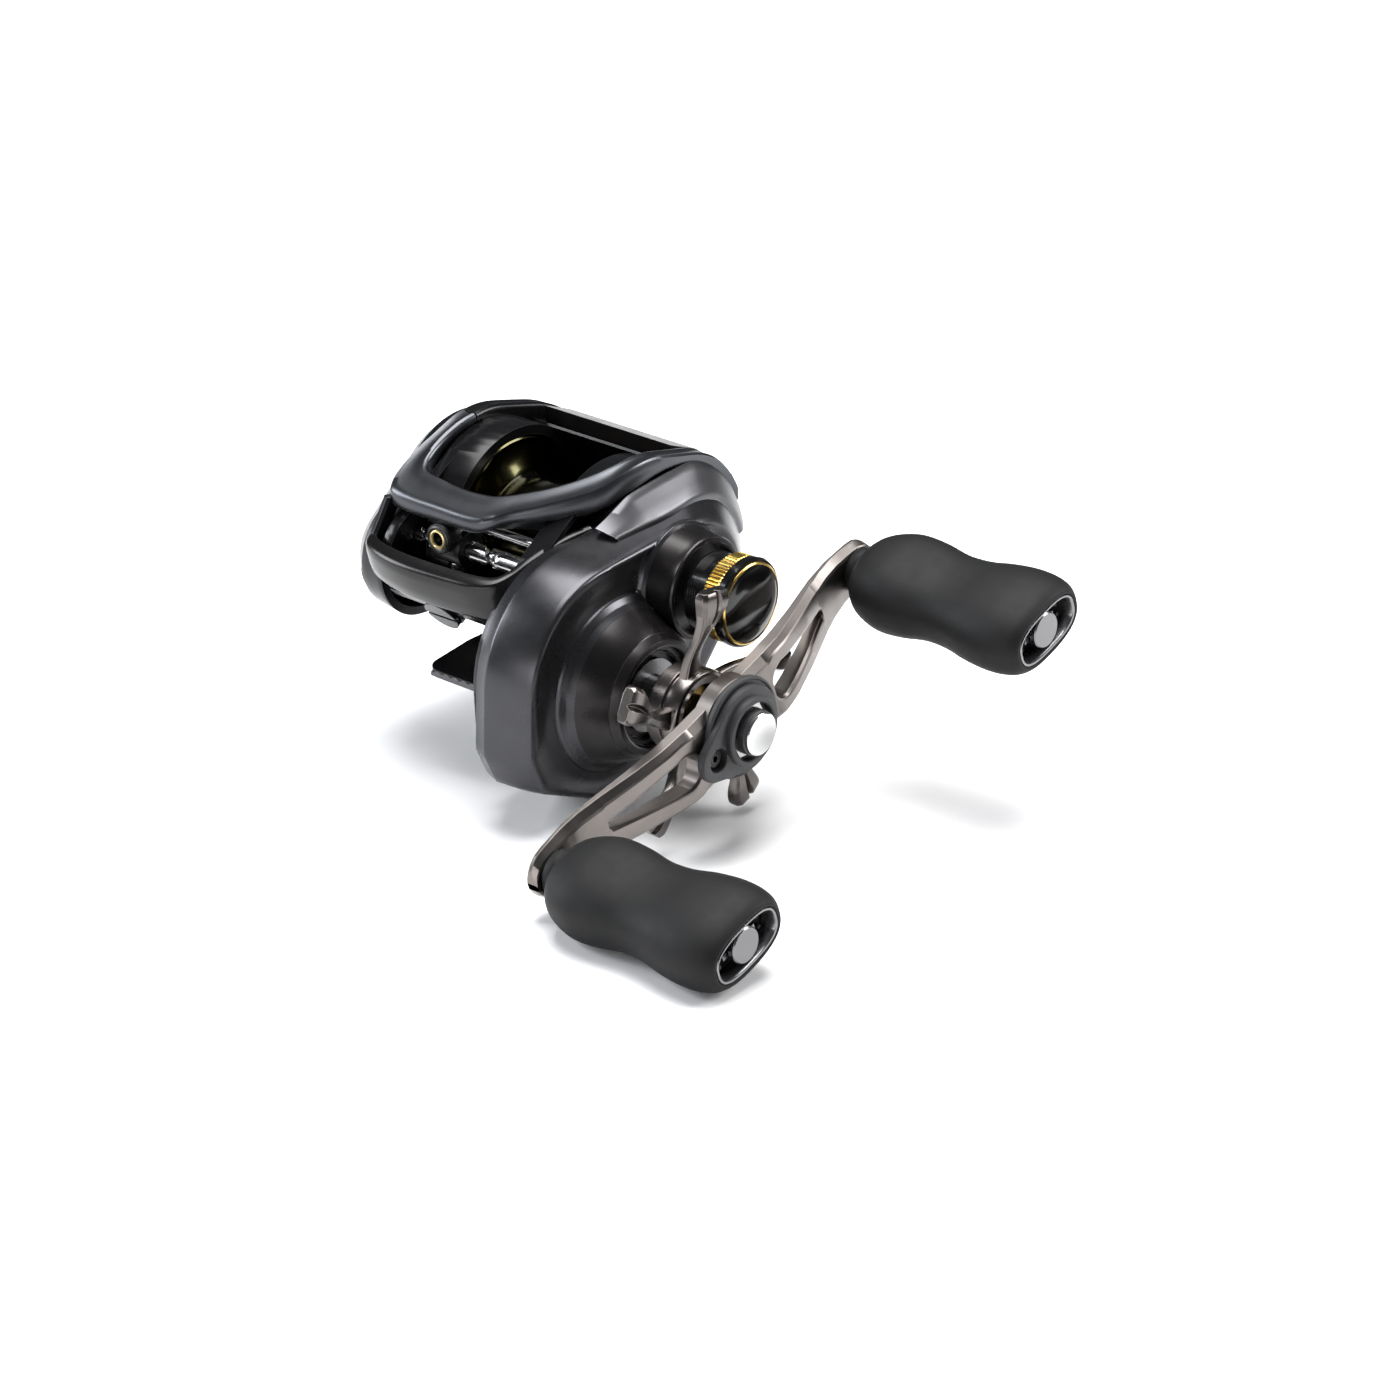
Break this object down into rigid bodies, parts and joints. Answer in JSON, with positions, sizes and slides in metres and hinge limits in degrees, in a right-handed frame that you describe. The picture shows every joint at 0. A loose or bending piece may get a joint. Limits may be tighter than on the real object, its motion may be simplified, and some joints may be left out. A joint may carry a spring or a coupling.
{
  "type": "baitcasting reel",
  "caption": "Low-profile baitcasting fishing reel with a double-knob crank, star drag wheel, capped cast control, thumb clutch bar and a line guide under a hooded frame.",
  "frame": {"origin": "on the underside of the reel foot, below the middle of the spool", "axes": "+X along the spool axis towards the crank, -Y towards the rod tip, +Z away from the rod"},
  "size_m": [0.1266, 0.1073, 0.0596],
  "materials": {
    "frame_black": "satin black",
    "hood_grey": "satin graphite with fine metallic grain",
    "lip_grey": "satin dark grey",
    "palm_dark": "satin dark grey",
    "case_dark": "satin charcoal",
    "strip_grey": "satin silver grey",
    "bearing_steel": "polished steel",
    "shaft_steel": "turned steel",
    "brass_gear": "cut brass",
    "alloy_gear": "machined",
    "carbon": "woven carbon",
    "spool_bronze": "polished dark olive anodising",
    "star_gunmetal": "polished gunmetal",
    "crank_titanium": "satin warm titanium grey",
    "cover_charcoal": "matte charcoal",
    "cap_silver": "spun face",
    "screw_steel": "plain",
    "screw_dark": "blackened",
    "knob_rubber": "matte dark grey",
    "knob_trim": "polished grey",
    "plastic_black": "moulded",
    "cast_black": "gloss black",
    "gold": "gold anodised",
    "guide_gold": "pale gold polished",
    "thumb_dark": "satin black"
  },
  "bodies": {
    "reel_body": {"frame": "frame_black", "hood": "hood_grey", "front_lip": "lip_grey", "palm_side_plate": "palm_dark", "gear_case": "case_dark", "side_strip": "strip_grey", "brake_race": "alloy_gear", "palm_spool_bearing": "bearing_steel", "pinion_bearing": "bearing_steel", "cap_side_bearing": "bearing_steel", "drive_shaft_bearing": "bearing_steel", "roller_clutch": "bearing_steel", "worm_bushings": "plastic_black", "guide_rod": "shaft_steel", "yoke_springs": "shaft_steel"},
    "side_plate_lock": {"side_plate_screw": "screw_steel"},
    "drive": {"drive_shaft": "shaft_steel", "shaft_gear": "plastic_black", "ratchet": "shaft_steel", "main_gear": "brass_gear", "drag_washers": "carbon", "drag_metal_washer": "shaft_steel", "drag_pressure_plate": "shaft_steel", "clutch_tube": "bearing_steel", "drag_spring_washers": "shaft_steel", "crank": "crank_titanium", "handle_nut": "shaft_steel", "nut_cover": "cover_charcoal", "nut_cover_screw": "screw_dark", "nut_cap": "cap_silver", "knob_posts": "shaft_steel"},
    "star_wheel": {"star_drag": "star_gunmetal"},
    "drag_nut": {"star_nut": "brass_gear"},
    "front_knob": {"knob_front": "knob_rubber", "knob_cap_front": "knob_trim", "knob_bushings_front": "plastic_black"},
    "rear_knob": {"knob_rear": "knob_rubber", "knob_cap_rear": "knob_trim", "knob_bushings_rear": "plastic_black"},
    "spool_set": {"spool": "spool_bronze", "spool_shaft": "shaft_steel", "spool_pin": "shaft_steel", "brake_hub": "plastic_black", "brake_shoes": "plastic_black"},
    "yoke": {"clutch_yoke": "plastic_black"},
    "pinion_gear": {"pinion": "brass_gear"},
    "cam": {"clutch_cam": "plastic_black"},
    "thumb_lever": {"thumb_bar": "thumb_dark"},
    "cast_control": {"cast_cap": "cast_black", "cast_grip_ring": "gold", "cast_accent_ring": "gold", "cast_shims": "plastic_black"},
    "brake_wheel": {"brake_dial": "plastic_black"},
    "worm": {"worm_shaft": "shaft_steel", "worm_gear": "plastic_black"},
    "idler": {"idle_gear": "plastic_black"},
    "guide_carriage": {"line_guide": "plastic_black", "line_guide_ring": "guide_gold", "pawl": "shaft_steel", "pawl_cap": "screw_steel"}
  },
  "joints": [
    {"name": "drive_spin", "type": "hinge", "parent": "reel_body", "child": "drive", "pos_m": [0.04, -0.01702, 0.00483], "axis": [1, 0, 0], "continuous": true},
    {"name": "star_turn", "type": "hinge", "parent": "drive", "child": "star_wheel", "pos_m": [0.049, -0.01702, 0.00483], "axis": [1, 0, 0], "range_deg": [-360, 360]},
    {"name": "drag_nut_slide", "type": "slide", "parent": "star_wheel", "child": "drag_nut", "axis": [1, 0, 0], "range_m": [-0.00075, 0.00075]},
    {"name": "front_knob_spin", "type": "hinge", "parent": "drive", "child": "front_knob", "pos_m": [0.074, -0.05947, -0.01011], "axis": [1, 0, 0], "continuous": true},
    {"name": "rear_knob_spin", "type": "hinge", "parent": "drive", "child": "rear_knob", "pos_m": [0.074, 0.02542, 0.01978], "axis": [1, 0, 0], "continuous": true},
    {"name": "spool_spin", "type": "hinge", "parent": "reel_body", "child": "spool_set", "pos_m": [0, 0, 0.02], "axis": [1, 0, 0], "continuous": true},
    {"name": "yoke_slide", "type": "slide", "parent": "reel_body", "child": "yoke", "axis": [1, 0, 0], "range_m": [0, 0.0015], "deforming": ["yoke_springs"]},
    {"name": "pinion_spin", "type": "hinge", "parent": "yoke", "child": "pinion_gear", "pos_m": [0.02, 0, 0.02], "axis": [1, 0, 0], "continuous": true},
    {"name": "cam_turn", "type": "hinge", "parent": "reel_body", "child": "cam", "pos_m": [0.016, 0, 0.02], "axis": [1, 0, 0], "range_deg": [-20, 0]},
    {"name": "thumb_press", "type": "slide", "parent": "reel_body", "child": "thumb_lever", "axis": [0, 0.6223, -0.7828], "range_m": [0, 0.004]},
    {"name": "cast_turn", "type": "hinge", "parent": "reel_body", "child": "cast_control", "pos_m": [0.044, 0, 0.02], "axis": [1, 0, 0], "range_deg": [-160, 160]},
    {"name": "brake_dial_turn", "type": "hinge", "parent": "reel_body", "child": "brake_wheel", "pos_m": [-0.028, -0.0155, 0.0145], "axis": [1, 0, 0], "range_deg": [-150, 150]},
    {"name": "side_plate_lock_turn", "type": "hinge", "parent": "reel_body", "child": "side_plate_lock", "pos_m": [-0.0047, -0.027, 0.0119], "axis": [0, -0.7986, -0.6018], "range_deg": [0, 90]},
    {"name": "worm_spin", "type": "hinge", "parent": "reel_body", "child": "worm", "pos_m": [0, -0.021, 0.0237], "axis": [1, 0, 0], "continuous": true},
    {"name": "idler_spin", "type": "hinge", "parent": "reel_body", "child": "idler", "pos_m": [0.016, -0.02116, 0.01615], "axis": [1, 0, 0], "continuous": true},
    {"name": "guide_slide", "type": "slide", "parent": "reel_body", "child": "guide_carriage", "axis": [1, 0, 0], "range_m": [-0.0002, 0.0145]}
  ],
  "couplings": [
    {"joint": "spool_spin", "follows": "drive_spin", "ratio": -6},
    {"joint": "pinion_spin", "follows": "drive_spin", "ratio": -6},
    {"joint": "idler_spin", "follows": "drive_spin", "ratio": -1.6667},
    {"joint": "worm_spin", "follows": "drive_spin", "ratio": 2.5},
    {"joint": "drag_nut_slide", "follows": "star_turn", "m_per_rad": 0.00011937},
    {"joint": "cam_turn", "follows": "thumb_press", "rad_per_m": -83.3},
    {"joint": "yoke_slide", "follows": "thumb_press", "ratio": 0.375}
  ]
}
